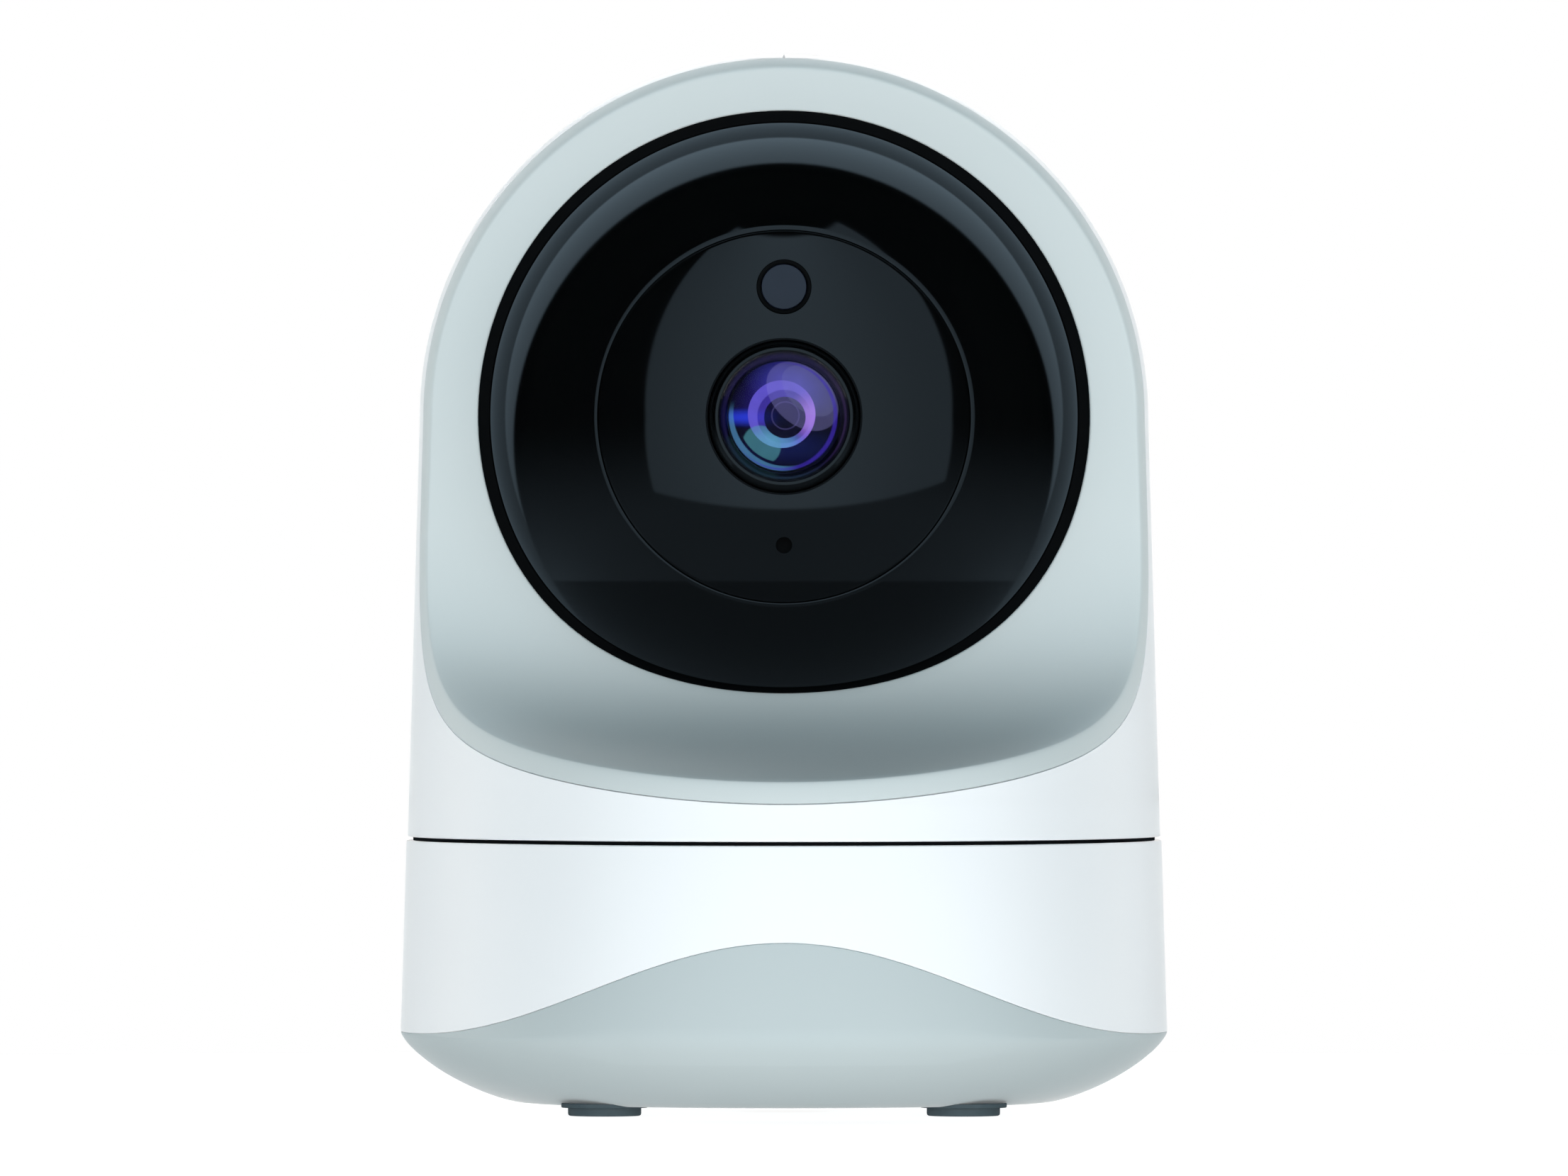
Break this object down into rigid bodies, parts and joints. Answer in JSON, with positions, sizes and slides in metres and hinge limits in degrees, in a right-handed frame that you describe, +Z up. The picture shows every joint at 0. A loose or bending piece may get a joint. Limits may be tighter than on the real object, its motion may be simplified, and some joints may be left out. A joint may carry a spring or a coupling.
{
  "type": "indoor security camera",
  "caption": "Indoor pan-and-tilt security camera: a black camera ball tilts inside a domed turret that turns on a round base with rubber feet.",
  "frame": {"origin": "on the floor below the middle of the base, on the pan axis", "axes": "+Z up along the pan axis; the lens looks towards -Y; +X to the right as seen from the front"},
  "size_m": [0.08, 0.0794, 0.1103],
  "materials": {
    "white_plastic": "satin moulded white plastic",
    "grey_plastic": "satin moulded cool grey plastic",
    "black_gloss": "polished black plastic",
    "dark_plastic": "fine textured black plastic",
    "lens_glass": "coated optical glass with a violet reflection",
    "infrared_window": "smoked infrared window",
    "foot_rubber": "soft grey rubber",
    "gear_nylon": "natural nylon",
    "steel": "zinc plated steel",
    "brass": "turned brass",
    "circuit_board": "green solder mask",
    "chip_black": "moulded epoxy"
  },
  "bodies": {
    "base": {"base_tray": "grey_plastic", "base_housing": "white_plastic", "foot_front_left": "foot_rubber", "foot_front_right": "foot_rubber", "foot_rear_left": "foot_rubber", "foot_rear_right": "foot_rubber", "base_screw_front_left": "steel", "base_screw_front_right": "steel", "base_screw_rear_left": "steel", "base_screw_rear_right": "steel", "tripod_insert": "brass", "ballast_plate": "steel", "pan_motor": "steel", "pan_motor_screw_left": "steel", "pan_motor_screw_right": "steel", "pan_thrust_washer": "gear_nylon", "power_board": "circuit_board", "power_socket": "steel", "reset_switch": "chip_black"},
    "reset_button": {"reset_button": "dark_plastic"},
    "pan_pinion": {"pan_pinion": "brass"},
    "turret": {"hood_shell": "white_plastic", "front_bezel": "grey_plastic", "ball_gasket": "dark_plastic", "turntable": "dark_plastic", "pan_gear": "gear_nylon", "hub_retainer": "steel", "tilt_arm_left": "dark_plastic", "tilt_arm_right": "dark_plastic", "tilt_pin": "steel", "tilt_gear": "gear_nylon", "main_board": "circuit_board", "processor": "chip_black", "speaker": "dark_plastic", "wifi_antenna": "circuit_board", "hood_screw_1": "steel", "hood_screw_2": "steel", "hood_screw_3": "steel", "hood_screw_4": "steel"},
    "head": {"ball_front_shell": "black_gloss", "ball_rear_shell": "black_gloss", "face_plate": "black_gloss", "infrared_window": "infrared_window", "led_board": "circuit_board", "infrared_led": "infrared_window", "microphone": "steel", "lens_ring": "black_gloss", "front_lens": "lens_glass", "lens_barrel": "dark_plastic", "rear_lens": "lens_glass", "lens_holder": "dark_plastic", "sensor_board": "circuit_board", "image_sensor": "infrared_window", "memory_card_socket": "steel", "tilt_motor": "steel"},
    "filter_slider": {"infrared_filter": "infrared_window"},
    "tilt_pinion": {"tilt_pinion": "brass"}
  },
  "joints": [
    {"name": "pan", "type": "hinge", "parent": "base", "child": "turret", "pos_m": [0, 0, 0.0285], "axis": [0, 0, 1], "range_deg": [-175, 175]},
    {"name": "tilt", "type": "hinge", "parent": "turret", "child": "head", "pos_m": [0, 0, 0.0725], "axis": [-1, 0, 0], "range_deg": [-30, 60]},
    {"name": "pan_pinion_spin", "type": "hinge", "parent": "base", "child": "pan_pinion", "pos_m": [0, 0.018, 0.0239], "axis": [0, 0, 1], "range_deg": [-880, 880]},
    {"name": "tilt_pinion_spin", "type": "hinge", "parent": "head", "child": "tilt_pinion", "pos_m": [0.0225, 0.0105, 0.0725], "axis": [-1, 0, 0], "range_deg": [-80, 155]},
    {"name": "reset_press", "type": "slide", "parent": "base", "child": "reset_button", "axis": [0, -1, 0], "range_m": [0, 0.0005], "stiffness_N_per_m": 400},
    {"name": "filter_shift", "type": "slide", "parent": "head", "child": "filter_slider", "axis": [1, 0, 0], "range_m": [0, 0.0044]}
  ],
  "couplings": [
    {"joint": "pan_pinion_spin", "follows": "pan", "ratio": -5},
    {"joint": "tilt_pinion_spin", "follows": "tilt", "ratio": 2.5}
  ]
}
